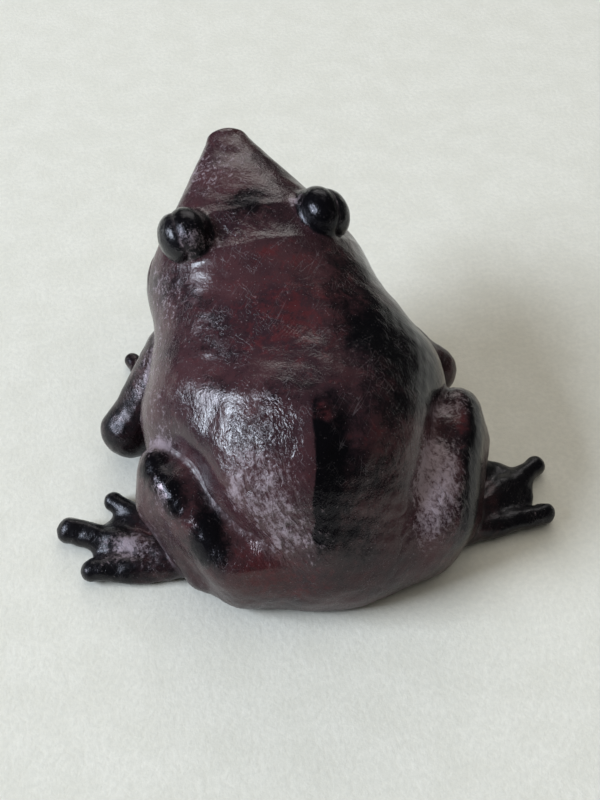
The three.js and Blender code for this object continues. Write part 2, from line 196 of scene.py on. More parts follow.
def trim(a, b, round_edge):
    """Smooth maximum: what a and b share, with its edge rounded."""
    return -join(-a, -b, round_edge)


def mirrored(p):
    """The point folded on to the frog's left side."""
    return np.concatenate([np.abs(p[..., :1]), p[..., 1:]], -1)


def bump(x, width):
    """A smooth hump of height 1 at x = 0: exp(-(x / width)^2)."""
    return np.exp(-np.square(x / width))


def rise(x, start, over):
    """0 before start and 1 from start + over on, with an even slope between. When over is below
    zero it runs the other way."""
    return np.clip((x - start) / over, 0, 1)


# %% [markdown]
# ## The body's form
# Rump, belly and chest are overlapping swellings. The head is a wedge that narrows from a broad
# skull to a blunt nose, with a cheek swelling low on each side. A soft keel runs down the rump
# and divides the bright side of the back from the dark. The lids are domes on the skull.

# %% Body distance
NECK = np.array([0, 62, 36.5])
NOSE = np.array([0, 88.0, 50.0])
NOSE_END = 89.0
LEAN = 1.2
RUMP = ((0, 20, 13.5), (26, 20.5, 29.5))
BELLY_CHEST_SEAT = [
    ((0, 36, 20), (32, 23, 24), 9),
    ((0, 50, 29), (24, 17, 18), 8),
    ((-6, 16, 9), (24, 20.3, 17), 8),
]
SKULL_RADIUS, NOSE_RADIUS, SKULL_SPREAD = 14.3, 1.9, 1.42
MUZZLE = (NECK + (0, 6, 5.5), NOSE + (0, -1, 0), 9, 1.5)
MUZZLE_SPREAD = 2
CHEEK = (NECK + (11.3, 0.5, -4.5), (12.2, 12.5, 10))
LID = ((13.6, 62.4, 48.2), (4.2, 5.8, 4.6))
EYEBALL = ((15.9, 62.6, 46.9), (3.9, 5.6, 4.9))
HEAD_FILLET, NECK_FILLET, LID_FILLET, BODY_EDGE = 4, 6, 2.2, 0.8
KEEL_SIDE, KEEL_WIDTH, KEEL_HEIGHT = 2.0, 4.5, 0.9
KEEL_FRONT = 8


def leaning(points):
    """The point folded to the left, after undoing the head's turn to the frog's right."""
    ahead = rise(points[..., 1], NECK[1], NOSE[1] - NECK[1])
    return mirrored(points + np.stack([LEAN * ahead, 0 * ahead, 0 * ahead], -1))


def trunk(p):
    """Rump, belly and chest ellipsoids, and the low seat a little to the right, all joined."""
    distance = ellipsoid(p, *RUMP)
    for centre, radii, fillet in BELLY_CHEST_SEAT:
        distance = join(distance, ellipsoid(p, centre, radii), fillet)
    return distance


def lids(p):
    """The upper eyelid's dome, on the folded point."""
    return ellipsoid(p, *LID)


def eyeballs(p):
    """The eyeball, outside the lid and a little lower, on the folded point."""
    return ellipsoid(p, *EYEBALL)


VALLEYS = [
    np.array([[27.0, 23.5, 27.5], [24.8, 19.5, 27.7], [20.5, 12, 26], [16.1, 4.9, 22]]),
    np.array([[-27.0, 21.5, 26.5], [-24.0, 16.5, 26.2], [-18.8, 7.3, 22.9], [-17.5, 2.3, 14]]),
]
VALLEY_DEPTHS = [2.2, 1.5]
VALLEY_HALF = 3.6


def valleys(points):
    """How far the skin is hollowed along each crease line between a haunch and the back."""
    depth = np.zeros(points.shape[:-1])
    for line, deepest in zip(VALLEYS, VALLEY_DEPTHS):
        runs = [taper(points, a, b, 0, 0) for a, b in zip(line[:-1], line[1:])]
        depth += deepest * bump(np.minimum.reduce(runs), VALLEY_HALF)
    return depth


def body(points):
    """The whole cast body: trunk, wedge head with cheeks, lids and keel, flat underneath."""
    p = leaning(points)
    across, along, up = np.moveaxis(points, -1, 0)
    wedge = taper(p * (1 / SKULL_SPREAD, 1, 1), NECK, NOSE, SKULL_RADIUS, NOSE_RADIUS)
    muzzle = taper(p * (1 / MUZZLE_SPREAD, 1, 1), *MUZZLE)
    head = join(join(wedge, muzzle, HEAD_FILLET), ellipsoid(p, *CHEEK), HEAD_FILLET)
    distance = trim(join(trunk(points), head, NECK_FILLET), along - NOSE_END, BODY_EDGE)
    keel = bump(across - KEEL_SIDE, KEEL_WIDTH) * bump(np.maximum(along - KEEL_FRONT, 0), 9)
    distance = distance - KEEL_HEIGHT * keel * rise(up, 6, 14)
    distance = join(distance, lids(mirrored(points)), LID_FILLET) + valleys(points)
    return trim(distance, RIM - up, BODY_EDGE)


# %% [markdown]
# ## The limbs' forms
# A folded hind leg is one thick, flattened lobe from the hip to the knee with the shin tucked
# under it. The foot has three toes, each with a waist and a rounded pad at its tip, and a low web
# between them. A foreleg is an upper arm, a forearm and a small hand with three fingers. The sides
# were set on by hand, so the right hind leg stands further out and its foot further back.

# %% Limb distances
ANKLE = np.array([24, 13.5, 3.4])
SOLE = 0.3
HIND_TOES = {
    1: [(23, 10.8, 2.4), (30, 29.1, 2.8), (26, 51, 2.1)],
    -1: [(22.8, 2.5, 2.3), (28, 28.3, 2.2), (20, 52, 2.1)],
}
FINGERS = [(11.2, 82, 1.8), (12, 104, 1.8), (10.5, 127, 1.8)]
SHOULDER = np.array([20, 54, 22])
ELBOW = np.array([33.9, 47.2, 8.5])
WRIST = np.array([26.0, 62, 3.0])
KNEE_SHIFT = {1: np.array([-0.4, 0, 0]), -1: np.array([1.8, 0, 0])}
HIP_SHIFT = {1: np.array([-0.4, 0, 0]), -1: np.array([5.3, -1.5, 0])}
FOOT_SHIFT = {1: np.array([0, 0, 0]), -1: np.array([1.5, -6.0, 0])}
ARM_SHIFT = {1: np.array([0, 0, 0]), -1: np.array([1.2, 1.0, 0])}
LIMB_FILLET, TOE_FILLET, FINGER_FILLET, PAD_FILLET = 3, 2.0, 1.2, 1.0
LEG_EDGE, FOOT_EDGE = 0.5, 0.4
WAIST_AT = 0.68


def on_left(points, side, shift=(0, 0, 0)):
    """The point in the left limb's design: mirrored for the right, with the shift undone."""
    return points * np.array([side, 1, 1]) - np.asarray(shift, float)


def outward(heading):
    """The level direction at a heading, in degrees from the frog's left towards its front."""
    angle = math.radians(heading)
    return np.array([math.cos(angle), math.sin(angle), 0])


def digit(p, root, length, heading, root_radius, waist_radius, pad_radius):
    """A toe or finger: a cone from the root to a waist, and another on to a fuller pad."""
    tip = np.array([root[0], root[1], pad_radius + SOLE - 0.1]) + outward(heading) * length
    waist = root + (tip - root) * WAIST_AT
    shaft = taper(p, root, waist, root_radius, waist_radius)
    return join(shaft, taper(p, waist, tip, waist_radius, pad_radius), PAD_FILLET)


def thigh(p, side):
    """Hip to knee, flattened, with a fuller haunch on its inner face."""
    hip, knee = HIP_SHIFT[side], KNEE_SHIFT[side]
    lobe = taper(p, hip + (18, 10, 8.5), knee + (29.5, 24, 20), 9.5, 7, (1, -0.5, 0.25), 0.75)
    haunch = taper(p, hip + (17.5, 8.5, 14.5), knee + (25, 20, 19.3), 8.2, 8.2)
    return join(lobe, haunch, LIMB_FILLET)


def shin(p, side):
    """From just below the knee back to the ankle."""
    return taper(p, KNEE_SHIFT[side] + (30, 22, 15), HIP_SHIFT[side] + (24, 12, 5), 6, 5)


def hind_leg(points, side):
    """Thigh and shin in one folded lobe."""
    p = on_left(points, side)
    leg = join(thigh(p, side), shin(p, side), LIMB_FILLET) + valleys(points)
    return trim(leg, SOLE - points[..., 2], LEG_EDGE)


def web(p):
    """The low skin between the toes."""
    return ellipsoid(p, (34.5, 22.3, 1.6), (12, 9.5, 2.7))


def hind_foot(points, side):
    """Three toes and their web."""
    p = on_left(points, side, FOOT_SHIFT[side])
    distance = web(p)
    for length, heading, pad in HIND_TOES[side]:
        distance = join(distance, digit(p, ANKLE, length, heading, 3.0, 0.85 * pad, pad), TOE_FILLET)
    return trim(distance, SOLE - points[..., 2], FOOT_EDGE)


def upper_arm(p):
    """Shoulder to elbow."""
    return taper(p, SHOULDER, ELBOW, 7.0, 5.2)


def forearm(p):
    """Elbow to wrist."""
    return taper(p, ELBOW - (0, 0, 0.2), (26, 62, 3.9), 5.0, 3.4)


def foreleg(points, side):
    """Arm, forearm and hand."""
    p = on_left(points, side, ARM_SHIFT[side])
    distance = join(upper_arm(p), forearm(p), LIMB_FILLET)
    for length, heading, pad in FINGERS:
        distance = join(distance, digit(p, WRIST, length, heading, 2.5, 0.8 * pad, pad), FINGER_FILLET)
    return trim(distance, SOLE - points[..., 2], FOOT_EDGE)


# %% [markdown]
# ## From a distance to a mesh
# A swelling is cast as a grid: rays leave a straight spine inside it, ring after ring, and fan
# out to a pole at each end. Each is followed to where the distance crosses zero. Several such
# closed grids overlap, so a voxel remesh fuses them into one skin, and then every vertex is moved
# back on to the exact surface along the distance's own slope, which takes the voxel steps away.

# %% Casting and fusing
MARCH_STEPS, BISECTIONS = 60, 14
MOST_SETTLE = 0.4


def turns(points):
    """Even angles round a ring."""
    return np.linspace(0, 2 * np.pi, points, endpoint=False)


def around(points):
    """Each point's number in a ring, and the number of the next one round."""
    here = np.arange(points)
    return here, (here + 1) % points


def bands(rings, points, first=0):
    """Quads between neighbouring rings of points, when the first ring starts at vertex first."""
    row = first + np.arange(rings)[:, None] * points
    here, there = around(points)
    quads = [row[:-1] + here, row[1:] + here, row[1:] + there, row[:-1] + there]
    return np.stack(quads, -1).reshape(-1, 4)


def disc(rings, points):
    """The faces of a disc of rings round vertex 0: a fan of triangles, and bands of quads."""
    here, there = around(points)
    return np.stack([np.zeros(points, int), 1 + here, 1 + there], -1), bands(rings, points, 1)


def cast(distance, start, end, rings, points, reach=60.0):
    """A closed grid round the spine start to end. Ring r and point c give a tilt, from 180
    degrees at the back pole through 90 along the spine to 0 at the front pole, and a turn
    round the spine. The vertex is where that ray first meets distance = 0: an even march to
    the reach, then bisection. Returns vertices and faces, with the two poles last."""
    start, end = np.asarray(start, float), np.asarray(end, float)
    forward = (end - start) / np.linalg.norm(end - start)
    side = np.cross(forward, [0, 0, 1.0])
    side /= np.linalg.norm(side)
    above = np.cross(side, forward)
    fan = rings // 4
    ring, point = np.meshgrid(np.arange(rings + 1), np.arange(points), indexing="ij")
    along = np.clip((ring - fan) / (rings - 2 * fan), 0, 1)[..., None]
    tilt = 0.5 * np.pi * (1 + np.maximum(fan - ring, 0) / fan - np.maximum(ring - rings + fan, 0) / fan)
    turn = 2 * np.pi * point / points
    ray = (
        np.cos(tilt)[..., None] * forward
        + (np.sin(tilt) * np.sin(turn))[..., None] * side
        + (np.sin(tilt) * np.cos(turn))[..., None] * above
    )
    origin = start + (end - start) * along
    inside, outside = np.zeros(ring.shape), np.full(ring.shape, reach)
    found = np.zeros(ring.shape, bool)
    for t in np.linspace(0, reach, MARCH_STEPS + 1)[1:]:
        out = distance(origin + ray * t) > 0
        outside = np.where(out & ~found, t, outside)
        found |= out
        inside = np.where(found, inside, t)
    for _ in range(BISECTIONS):
        half = (inside + outside) / 2
        out = distance(origin + ray * half[..., None]) > 0
        outside, inside = np.where(out, half, outside), np.where(out, inside, half)
    surface = origin + ray * inside[..., None]
    vertices, poles = surface[1:-1].reshape(-1, 3), surface[[0, -1], 0]
    here, there = around(points)
    last = (rings - 2) * points
    back_cap = np.stack([np.full(points, len(vertices)), here, there], -1)
    front_cap = np.stack([last + there, last + here, np.full(points, len(vertices) + 1)], -1)
    faces = [*bands(rings - 1, points).tolist(), *back_cap.tolist(), *front_cap.tolist()]
    return np.vstack([vertices, poles]), faces


def mesh_object(name, vertices, faces):
    """A smooth-shaded object from row-frame millimetres."""
    mesh = bpy.data.meshes.new(name)
    mesh.from_pydata((np.asarray(vertices) * MM).tolist(), [], faces)
    mesh.validate()
    mesh.shade_smooth()
    made = bpy.data.objects.new(name, mesh)
    bpy.context.collection.objects.link(made)
    return made


def applied(piece):
    """Bakes a piece's modifiers into its mesh."""
    graph = bpy.context.evaluated_depsgraph_get()
    mesh = bpy.data.meshes.new_from_object(piece.evaluated_get(graph))
    piece.modifiers.clear()
    piece.data = mesh
    mesh.shade_smooth()
    return piece


def points_of(piece):
    """A piece's vertices in frog coordinates."""
    flat = np.empty(3 * len(piece.data.vertices))
    piece.data.vertices.foreach_get("co", flat)
    return from_row(flat.reshape(-1, 3) / MM)


def move_to(piece, points):
    """Puts a piece's vertices at frog coordinates, kept inside the CAD model's box."""
    inside = np.clip(to_row(points) * MM, np.array(cad_low), np.array(cad_high))
    piece.data.vertices.foreach_set("co", inside.ravel())
    piece.data.update()


def slope(distance, p, step=0.05):
    """The distance's gradient, by central differences."""
    offsets = np.eye(3) * step
    return np.stack([distance(p + o) - distance(p - o) for o in offsets], -1) / (2 * step)


def settle(p, distance, rounds=3):
    """Moves points on to distance = 0, by a step of d g / g.g down the gradient g each round."""
    for _ in range(rounds):
        g = slope(distance, p)
        step = distance(p)[:, None] * g / np.maximum((g * g).sum(-1, keepdims=True), 0.05)
        p = p - np.clip(step, -MOST_SETTLE, MOST_SETTLE)
    return p


def fuse(name, shells, voxel, distance):
    """Overlapping closed grids to one skin: joined, remeshed at voxel mm, settled."""
    vertices, faces, offset = [], [], 0
    for shell_vertices, shell_faces in shells:
        vertices.append(to_row(shell_vertices))
        faces += [[i + offset for i in face] for face in shell_faces]
        offset += len(shell_vertices)
    piece = mesh_object(name, np.vstack(vertices), faces)
    remesh = piece.modifiers.new("fuse", "REMESH")
    remesh.mode = "VOXEL"
    remesh.voxel_size = voxel * MM
    applied(piece)
    move_to(piece, settle(points_of(piece), distance))
    return piece


# %% [markdown]
# ## Marks of the tools
# A few plane waves in random directions make a soft ripple, which stands for wax pushed with a
# thumb or for a rasp's wander. Pits and grooves are small humps taken away. The displacement
# goes along the surface's own normal, so it is real shape.

# %% Ripples, pits and the chaser


def ripple(p, wavelength, seed, waves=14):
    """A smooth random field, about -1 to 1: the scaled mean of sine waves near one wavelength,
    each with its own random direction and phase."""
    draw = np.random.default_rng(seed)
    directions = draw.normal(size=(waves, 3))
    directions /= np.linalg.norm(directions, axis=1, keepdims=True)
    stretch = draw.uniform(0.7, 1.4, waves)
    phase = draw.uniform(0, 2 * np.pi, waves)
    angles = p @ (directions * stretch[:, None]).T * (2 * np.pi / wavelength) + phase
    return np.sin(angles).mean(-1) * math.sqrt(waves / 2)


def ripples(p, *layers):
    """A sum of ripples, where each layer is a height in millimetres, a wavelength and a seed."""
    return sum(height * ripple(p, wavelength, seed) for height, wavelength, seed in layers)


def marked(p, marks):
    """The sum of soft spots, kept to 0..1: each mark adds its amount times exp(-r^2), with r
    the offset from its centre over its radii."""
    total = np.zeros(len(p))
    for centre, radii, amount in marks:
        total += amount * bump(np.linalg.norm((p - np.asarray(centre)) / radii, axis=-1), 1)
    return np.clip(total, 0, 1)


def chase(piece, distance, height):
    """Moves each vertex along the surface normal by height(p), in millimetres."""
    p = points_of(piece)
    normal = slope(distance, p)
    normal /= np.maximum(np.linalg.norm(normal, axis=-1, keepdims=True), 1e-9)
    move_to(piece, p + normal * height(p)[:, None])


def store(piece, name, values):
    """Keeps one number for each vertex, for a material to read."""
    attribute = piece.data.attributes.new(name, "FLOAT", "POINT")
    attribute.data.foreach_set("value", np.asarray(values, np.float32))


def finish_piece(piece, *nodes, slot):
    """Rides the root body, stands for its CAD nodes and takes its record slot."""
    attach(piece, "root")
    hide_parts(*nodes)
    pieces.setdefault(slot, []).append(piece)
    print(piece.name, len(piece.data.polygons), "faces", round(time.time() - START, 1), "s")


pieces = {}

# %% [markdown]
# ## Where the patina lies
# Patina is laid on in patches, and then years of handling change it: hollows keep dust and wax,
# and the red of the first coat shows where the black is thin. Some patches are painted light as
# well: dark ones as painted shade, pale ones as painted sheen and highlights over the dust. These
# patches are soft spots in frog coordinates: a centre, three radii and an amount. Each vertex keeps
# how dark, how red, how much dust and painted sheen and how rough its place is, and the finish
# breaks the soft edges up with noise.

# %% Patches
# Dark patches. The marks on the inner face of the left haunch, at along 4 to 9, are painted shade in the
# hollow by the crease; the others darken the colour, most over the right shoulder and flank.
DARK_AND_SHADE = [
    ((0.9, 65.5, 50), (4.5, 4.2, 5), 0.9), ((-21, 35, 38), (9, 10, 12), 0.8),
    ((-11, 33, 43), (7, 7, 6), 0.5), ((-24, 26, 34), (7, 8, 9), 0.7),
    ((-16, 18, 37), (8, 7, 7), 0.5), ((-10, 7, 32), (7, 7, 8), 0.5),
    ((-5, 0, 22.5), (7, 5, 6), 0.45), ((-2, -3, 12), (16, 4, 6), 0.25),
    ((20, 56, 41), (4, 4, 5), 0.4), ((-9, 43, 45), (5, 4, 4), 0.5),
    ((15, 48, 43), (5, 6, 5), 0.35), ((16, 38, 41.5), (6, 6, 5), 0.3),
    ((-15, 50, 42), (6, 6, 6), 0.5), ((18, 28, 38), (6, 4, 5), 0.3),
    ((6, 22, 43), (8, 4, 5), 0.3), ((31.5, 24, 25.5), (3.2, 5, 4), 0.9),
    ((28.7, 15.4, 24.5), (2.6, 6, 4), 0.9), ((24.5, 7.5, 18.5), (4, 5, 4), 0.7),
    ((22.5, 9, 22), (3, 6, 4), 0.75), ((18.5, 4, 18), (4, 4, 5), 0.5),
    ((-33.8, 20, 24), (3, 6, 5), 1), ((-31.5, 11.5, 21.5), (2.8, 6, 6), 1),
    ((-28.5, 5, 18.5), (3, 5, 6), 1), ((-25.5, -1, 14), (4, 4, 6), 0.6),
]
WARM = [
    ((0.2, 52.8, 48.8), (2.4, 1.2, 2), 1), ((-5, 50, 48), (3, 2, 3), 0.5),
    ((-0.5, 34, 44.6), (8, 9, 6), 0.55), ((-0.7, 15, 42.4), (1.7, 1.9, 3), 1),
    ((-0.7, 15, 42.4), (1.5, 1.7, 3), 1), ((3, 42, 46), (11, 8, 6), 0.5),
    ((14.5, 1.5, 17), (5, 4, 6), 0.8), ((27, 13, 21), (3, 6, 4), 0.5),
    ((10, -2.5, 12), (8, 4, 6), 0.4), ((6, -1, 19), (10, 4, 6), 0.35),
    ((-10, 12, 36), (5, 5, 5), 0.35), ((-30, 18.5, 26), (2.2, 3, 4), 1),
    ((-24, 0, 14), (3, 3, 6), 0.5), ((33, 28, 22), (3, 3, 5), 0.5),
    ((33, 22, 3), (7, 5, 3), 0.9), ((42, 28, 4), (4, 3, 3), 0.6),
]
# Pale patches of dust and wax. Many also carry painted light: painted sheen on the snout and across the
# head, and painted highlights on the left lid, the left rump, the crest of the left thigh, the inner face
# of the right haunch and the left foot. The knees and the left shoulder hold only dust.
DUST_AND_SHEEN = [
    ((0, 78, 51), (9, 9, 6), 0.42), ((9, 80, 48), (5, 9, 6), 0.42),
    ((21, 57, 39), (5, 9, 9), 0.5), ((27, 50, 26), (6, 8, 12), 0.45),
    ((29.4, 37, 29), (7, 12, 10), 0.4), ((28, 27.5, 27), (2.4, 2.4, 4), 0.45),
    ((13, 12, 35.6), (6, 5, 6), 0.5), ((11, 5.5, 30.7), (6, 6, 7), 0.75),
    ((17, 10.5, 30), (1.6, 5, 5), 0.6), ((7, 1, 24), (6, 4, 5), 0.55),
    ((-22.8, 12.5, 24), (4.8, 5, 6), 1.2), ((-21.4, 7.5, 21.3), (5.2, 5, 6), 1.2),
    ((-19.6, 2.5, 17.5), (4.6, 4, 5), 1.1), ((31, 28.4, 25), (4, 2.2, 3), 0.6),
    ((-29, 22.5, 27), (5, 2.6, 4), 0.75), ((-9, 64.4, 50.6), (1.8, 2.2, 2), 0.9),
    ((9, 58, 49.5), (5, 2.2, 4), 0.45), ((39, 20, 5.5), (6, 4, 4), 0.9),
    ((14, 58, 50.5), (2.5, 2.2, 4), 0.6), ((33, 12, 14), (4, 9, 9), 0.5),
    ((30.8, 17, 23.5), (1.6, 5, 3), 0.6),
]
ROUGH = [
    ((12, 8, 32), (6, 8, 9), 1), ((8, 2, 24), (7, 6, 6), 0.8),
    ((11, 17, 40.5), (6, 4.5, 5), 0.8), ((-23.5, 8, 22), (4, 9, 7), 1),
    ((5, 59, 50), (7, 3, 4), 0.5),
]
# Where the stripe of painted shade beside the keel lies.
BAND_EDGE = np.array([1.6, 4.2])
BAND_FADE = 5.0


def keel_shade_band(p):
    """A dark stripe of painted shade down the right of the keel, where the back turns from the window.
    Its left edge wavers, and drifts from the first BAND_EDGE to the second at the tail. To its right
    it fades over BAND_FADE."""
    drift = rise(p[:, 1], 17, -20)
    edge = BAND_EDGE[0] + (BAND_EDGE[1] - BAND_EDGE[0]) * drift + 0.5 * ripple(p, 6, 61)
    inside = edge - p[:, 0]
    reach = rise(p[:, 1], 20, -5) * rise(p[:, 2], 19, 8)
    return rise(inside, 0, 0.8) * bump(np.maximum(inside - 1.5, 0), BAND_FADE) * reach


def lay_patina(piece, crease, dark=0.0):
    """Stores the patch amounts at every vertex, with a crease and an extra darkness."""
    p = points_of(piece)
    # The dark amount is black patina and painted shade: the haunch-hollow patches and the keel stripe.
    store(piece, "dark", np.clip(marked(p, DARK_AND_SHADE) + keel_shade_band(p) + dark, 0, 1))
    store(piece, "warm", marked(p, WARM))
    store(piece, "dust_and_sheen", marked(p, DUST_AND_SHEEN))
    store(piece, "rough", marked(p, ROUGH))
    store(piece, "crease", crease)


# %% [markdown]
# ## The body skin
# The body is one cast grid fused with the two lids. The mouth is a shallow groove along each
# jaw, and the nostrils are two small pits. A limb's seam is drawn in a little, as a chaser
# leaves a soldered joint, and so is the ring round each core plug. Underneath, an oval recess
# is cut for the base plate and its felt.

# %% Body
GRID_RINGS, GRID_POINTS = 120, 120
BODY_VOXEL = 0.42
SIDES = {"left": 1, "right": -1}
PLUGS = {
    "back_plug": {"place": (2.9, 35.98), "radii": (5.8, 4.3)},
    "head_plug": {"place": (4.6, 58.98), "radii": (1.3, 1.3)},
}
BODY_SPINE = ((0, 20, 17), (0, 84.5, 47.8))
LID_SPINE = ((13.6, 61, 48.2), (13.6, 64, 48.2))
RUMP_RIDGE = np.array([[23.0, 33.5, 36.0], [7.0, 22.0, 43.2]])
RIDGE_HEIGHT, RIDGE_WIDTH = 0.42, 3.6
MOUTH_LENGTH, MOUTH_TOP, MOUTH_SLOPE, MOUTH_SAG = 27, 48.6, 0.52, 1.2
MOUTH_DEPTH, MOUTH_WIDTH = 0.5, 0.55
NOSTRIL, NOSTRIL_RADIUS = (2.2, 87.2, 51.6), 0.7
PIT_DEPTH = 0.5
SEAM_DEPTH, SEAM_WIDTH = 0.3, 0.9
MERGE_LEFT, MERGE_RIGHT = (11, 24), (19, 31)
PITS = [((9.4, 17.8, 41.4), 0.35), ((7.7, 2.8, 27.1), 0.4), ((9.2, 2.9, 26.2), 0.3), ((-6, 3, 25), 0.3)]


def merging(p):
    """1 where a haunch runs out into the back without a crease, and 0 elsewhere: low on the rump
    on the left, and over most of the haunch on the right."""
    along, up = (np.where(p[..., 0] > 0, *limits) for limits in zip(MERGE_LEFT, MERGE_RIGHT))
    return rise(p[..., 1], along, -7) * rise(p[..., 2], up, -6)


def limbs(p):
    """The distance to the nearest limb."""
    all_limbs = [f(p, side) for side in SIDES.values() for f in (hind_leg, foreleg)]
    return np.minimum.reduce(all_limbs)


def mouth(p):
    """Height of the jaw groove, about a line that runs back from the nose."""
    back = NOSE_END - 1 - p[:, 1]
    sag = MOUTH_SAG * np.sin(rise(back, 0, MOUTH_LENGTH) * np.pi)
    line = MOUTH_TOP - MOUTH_SLOPE * back - sag
    return -MOUTH_DEPTH * bump(p[:, 2] - line, MOUTH_WIDTH) * rise(back, MOUTH_LENGTH, -5)


def plug_rings(p):
    """Height of the faint groove round each plug."""
    height = np.zeros(len(p))
    for plug in PLUGS.values():
        radii = np.array(plug["radii"])
        offset = np.linalg.norm((p[:, :2] - plug["place"]) / radii, axis=-1)
        height -= 0.08 * bump((offset - 1.03) * radii.mean(), 0.3) * (p[:, 2] > 30)
    return height


def body_height(p):
    """The body's tool marks, and the low ridge across the top of the rump."""
    height = ripples(p, (0.14, 11, 1), (0.045, 3.5, 2))
    height += RIDGE_HEIGHT * bump(taper(p, *RUMP_RIDGE, 0, 0), RIDGE_WIDTH)
    height += marked(p, ROUGH) * ripples(p, (0.06, 2.4, 3), (0.05, 1.5, 4))
    height += mouth(p) + plug_rings(p)
    pits = [(leaning(p), NOSTRIL, NOSTRIL_RADIUS), *((p, place, radius) for place, radius in PITS)]
    for points, place, radius in pits:
        height -= PIT_DEPTH * bump(np.linalg.norm(points - np.array(place), axis=-1), radius)
    height -= SEAM_DEPTH * bump(limbs(p), SEAM_WIDTH) * (1 - merging(p))
    return height * rise(p[:, 2], RIM, 1)


body_shell = cast(body, *BODY_SPINE, GRID_RINGS, GRID_POINTS)
lid_shells = [
    cast(lambda p: lids(mirrored(p)), *(np.array(LID_SPINE) * (side, 1, 1)), 24, 24, 12)
    for side in SIDES.values()
]
skin = fuse("body_skin", [body_shell, *lid_shells], BODY_VOXEL, body)
chase(skin, body, body_height)
skin_points = points_of(skin)
around_eyes = 0.3 * bump(np.maximum(eyeballs(mirrored(skin_points)), 0), 0.7)
along_limbs = bump(np.maximum(limbs(skin_points), 0), 1.1) * (1 - merging(skin_points))
on_lids = 0.9 * np.clip(1.4 - lids(mirrored(skin_points)) / 0.8, 0, 1)
lay_patina(skin, np.maximum(along_limbs, around_eyes), on_lids)

# %% Recess for the base
RECESS_GAP, RECESS_BELOW = 0.3, -2
plate_low, plate_high = (np.array(corner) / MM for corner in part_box("base_plate"))


def oval_prism(name, radii, bottom, top, points=160):
    """A closed upright oval prism about the origin."""
    turn = turns(points)
    outline = np.stack([radii[0] * np.cos(turn), radii[1] * np.sin(turn)], -1)
    low = np.column_stack([outline, np.full(points, bottom)])
    high = np.column_stack([outline, np.full(points, top)])
    here, there = around(points)
    walls = np.stack([here, there, there + points, here + points], -1).tolist()
    ends = [here[::-1].tolist(), (here + points).tolist()]
    return mesh_object(name, np.vstack([low, high]), walls + ends)


cutter = oval_prism("cutter", plate_high[:2] + RECESS_GAP, RECESS_BELOW, plate_high[2] + RECESS_GAP)
cut = skin.modifiers.new("recess", "BOOLEAN")
cut.operation = "DIFFERENCE"
cut.object = cutter
cut.solver = "EXACT"
applied(skin)
bpy.data.objects.remove(cutter)
finish_piece(skin, "body_casting", slot="patina")

# %% [markdown]
# ## Core plugs
# The core's pins leave holes that are filled with plugs and filed flush. Each plug is a thin lens
# whose top follows the body's own surface, a hair above it in the middle and just under it at
# the rim. It keeps the short diagonal strokes of the file.

# %% Plugs
PLUG_LIFT, PLUG_DIVE, PLUG_DEPTH = 0.035, 0.3, 1.2
PLUG_START, PLUG_STEP = 44.0, 0.02
STROKE_SPACING, STROKE_DEPTH = 0.62, 0.035


def strokes(p):
    """File strokes: a sharpened sine across a diagonal, in patches of a slow ripple."""
    across = (p[..., 0] * 0.62 + p[..., 1] * 0.78) * (2 * np.pi / STROKE_SPACING)
    wave = np.abs(np.sin(across / 2 + 0.6 * np.sin(p[..., 0]))) ** 3
    patch = np.clip(0.5 + ripple(p, 5, 31), 0, 1)
    return -STROKE_DEPTH * wave * patch


def plug_lens(name, plug, rings=44, points=150):
    """A closed lens on the body. Each ring of the top is the oval at a share of its radii,
    dropped on to the surface along the middle's normal. It is lifted by PLUG_LIFT and sinks by
    PLUG_DIVE times the share to the 12th. The underside is the same rings, PLUG_DEPTH lower."""
    middle = np.array([*plug["place"], PLUG_START])
    while body(middle) < 0:
        middle[2] += PLUG_STEP
    middle = settle(middle[None], body)[0]
    normal = slope(body, middle[None])[0]
    normal /= np.linalg.norm(normal)
    side = np.cross([0, 1.0, 0], normal)
    side /= np.linalg.norm(side)
    ahead = np.cross(normal, side)
    share, turn = np.meshgrid(np.linspace(0, 1, rings + 1)[1:], turns(points), indexing="ij")
    share, turn = np.append(0, share.ravel()), np.append(0, turn.ravel())
    top = (
        middle
        + (plug["radii"][0] * share * np.cos(turn))[:, None] * side
        + (plug["radii"][1] * share * np.sin(turn))[:, None] * ahead
    )
    for _ in range(4):
        top = top - (body(top) / (slope(body, top) @ normal))[:, None] * normal
    lift = body_height(top) + PLUG_LIFT - PLUG_DIVE * share**12 + strokes(top)
    top = top + normal * lift[:, None]
    under = top - normal * PLUG_DEPTH
    fan, band = disc(rings, points)
    here, there = around(points)
    count = len(top)
    edge = 1 + (rings - 1) * points
    wall = np.stack([edge + here, count + edge + here, count + edge + there, edge + there], -1)
    faces = [*fan.tolist(), *band.tolist(), *wall.tolist()]
    faces += [*(fan[:, ::-1] + count).tolist(), *(band[:, ::-1] + count).tolist()]
    return mesh_object(name, to_row(np.vstack([top, under])), faces)


for node, plug in PLUGS.items():
    lens = plug_lens(f"{node}_lens", plug)
    offset = np.linalg.norm((points_of(lens)[:, :2] - plug["place"]) / plug["radii"], axis=-1)
    lay_patina(lens, 0.35 * bump(offset - 1, 0.06))
    finish_piece(lens, node, slot="patina")

# %% [markdown]
# ## Limbs and feet
# Each limb is cast as overlapping grids on one joined distance, then fused. Where it meets the
# body it flares with a solder fillet: the distance to limb and body joined, cut off a fillet's
# width outside the limb, so that the skirt ends under the body's skin.

# %% Limbs
FILLET = 1.0
MERGE = 5.0
SKIRT_LIFT = 0.02
BETWEEN_ANKLES = np.array([0, 14])


def soldered(limb, host, spread):
    """The limb with a fillet on to its host, kept within a fillet's width of the limb and above
    the sole. The fillet widens by spread where the haunch runs out into the rump."""
    def surface(p):
        fillet = FILLET + spread * merging(p)
        skirt = np.maximum(join(limb(p), host(p), fillet) - SKIRT_LIFT, limb(p) - fillet)
        return np.maximum(skirt, SOLE - p[..., 2])
    return surface


